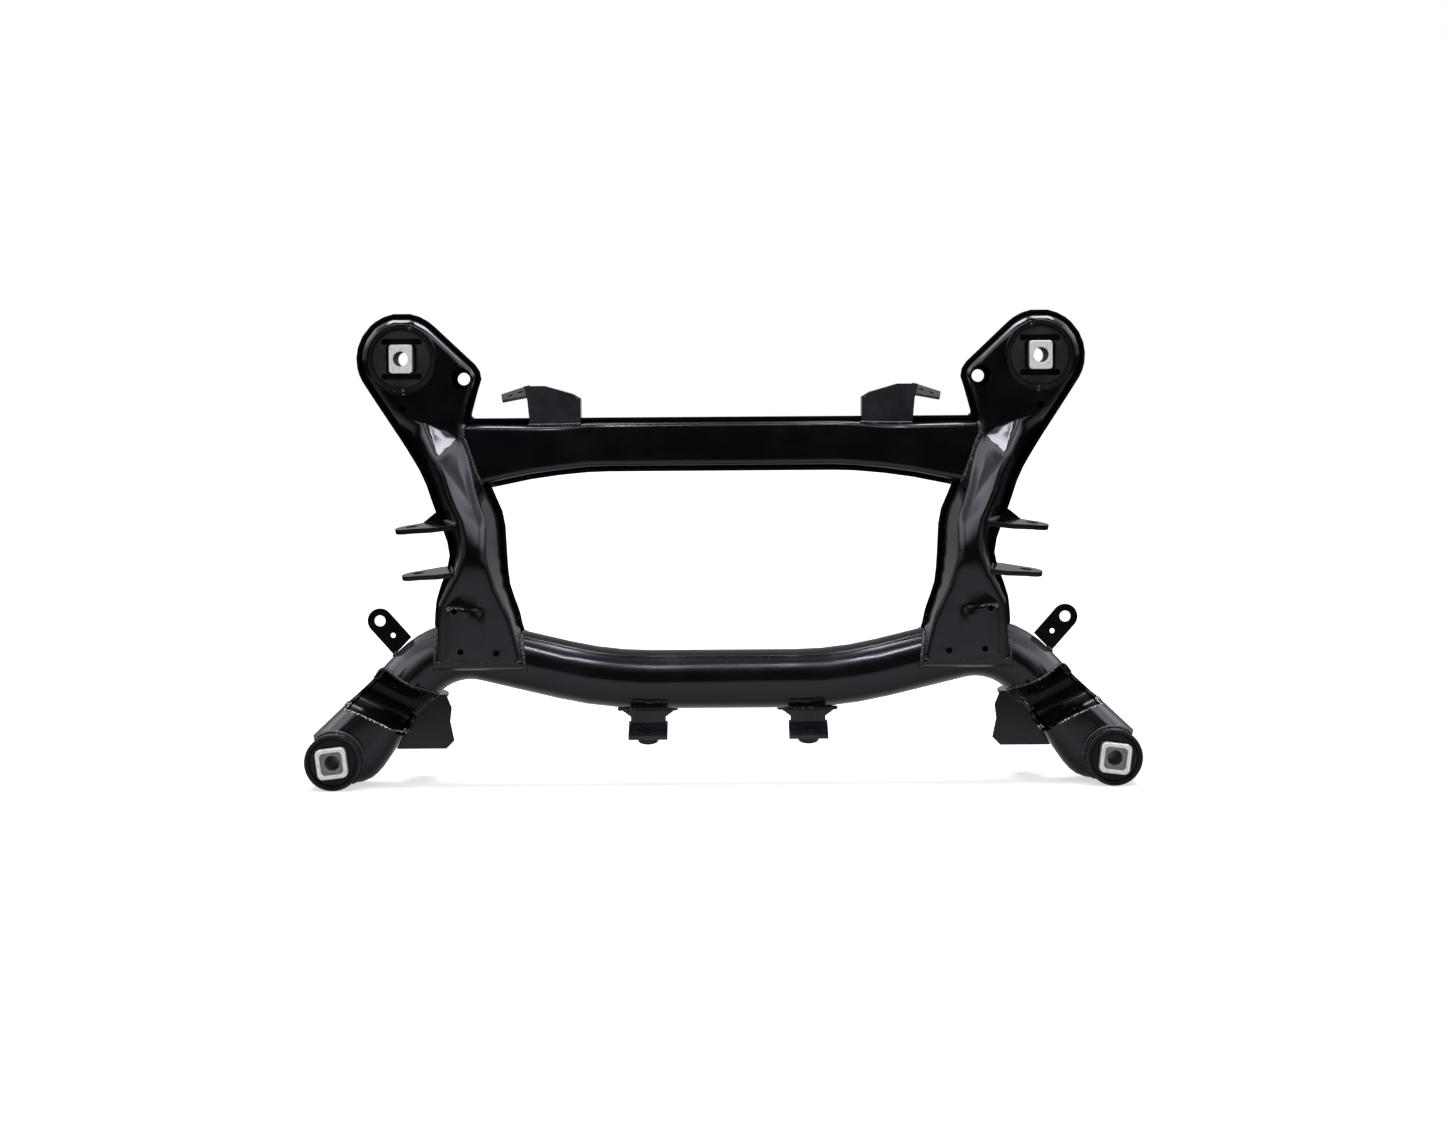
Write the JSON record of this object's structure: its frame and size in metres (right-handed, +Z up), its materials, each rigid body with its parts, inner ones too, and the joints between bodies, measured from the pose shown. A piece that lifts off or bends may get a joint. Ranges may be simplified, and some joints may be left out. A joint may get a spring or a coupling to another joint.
{
  "type": "rear axle subframe",
  "caption": "Welded rear axle subframe: bent cross tube with arms, pressed side members, boxed cross member, rubber mounts at the corners and link, stabiliser and line brackets.",
  "frame": {"origin": "on the floor under the middle of the subframe, as it stands on its two lower mounts", "axes": "+X to the right as the picture shows it, -Y towards the picture's viewer, +Z up from the lower mounts to the upper mounts"},
  "size_m": [0.829, 0.1458, 0.4709],
  "materials": {
    "black_paint": "glossy black paint over pressed steel and welds",
    "mount_rubber": "matte black moulded rubber",
    "bare_core": "bare aluminium, lightly scuffed",
    "mount_sleeve": "pressed-in steel sleeve, dark",
    "nut_steel": "weld nut, painted over"
  },
  "bodies": {
    "root": {"front_cross_tube": "black_paint", "arm_front_shell_left": "black_paint", "arm_front_shell_right": "black_paint", "arm_back_shell_left": "black_paint", "arm_back_shell_right": "black_paint", "arm_trough_left": "black_paint", "arm_trough_right": "black_paint", "arm_bush_housing_left": "black_paint", "arm_bush_housing_right": "black_paint", "arm_bush_sleeve_left": "mount_sleeve", "arm_bush_sleeve_right": "mount_sleeve", "arm_bush_rubber_left": "mount_rubber", "arm_bush_rubber_right": "mount_rubber", "arm_bush_core_left": "bare_core", "arm_bush_core_right": "bare_core", "side_member_front_shell_left": "black_paint", "side_member_front_shell_right": "black_paint", "side_member_back_shell_left": "black_paint", "side_member_back_shell_right": "black_paint", "ear_bush_housing_left": "black_paint", "ear_bush_housing_right": "black_paint", "ear_bush_sleeve_left": "mount_sleeve", "ear_bush_sleeve_right": "mount_sleeve", "ear_bush_rubber_left": "mount_rubber", "ear_bush_rubber_right": "mount_rubber", "ear_bush_core_left": "bare_core", "ear_bush_core_right": "bare_core", "rear_cross_front_shell": "black_paint", "rear_cross_back_shell": "black_paint", "upper_link_rear_plate_left": "black_paint", "upper_link_rear_plate_right": "black_paint", "upper_link_front_plate_left": "black_paint", "upper_link_front_plate_right": "black_paint", "lower_link_bracket_left": "black_paint", "lower_link_bracket_right": "black_paint", "stabiliser_bracket_left": "black_paint", "stabiliser_bracket_right": "black_paint", "line_tab_left": "black_paint", "line_tab_right": "black_paint", "differential_bracket_left": "black_paint", "differential_bracket_right": "black_paint", "differential_nut_left": "nut_steel", "differential_nut_right": "nut_steel"}
  },
  "joints": []
}
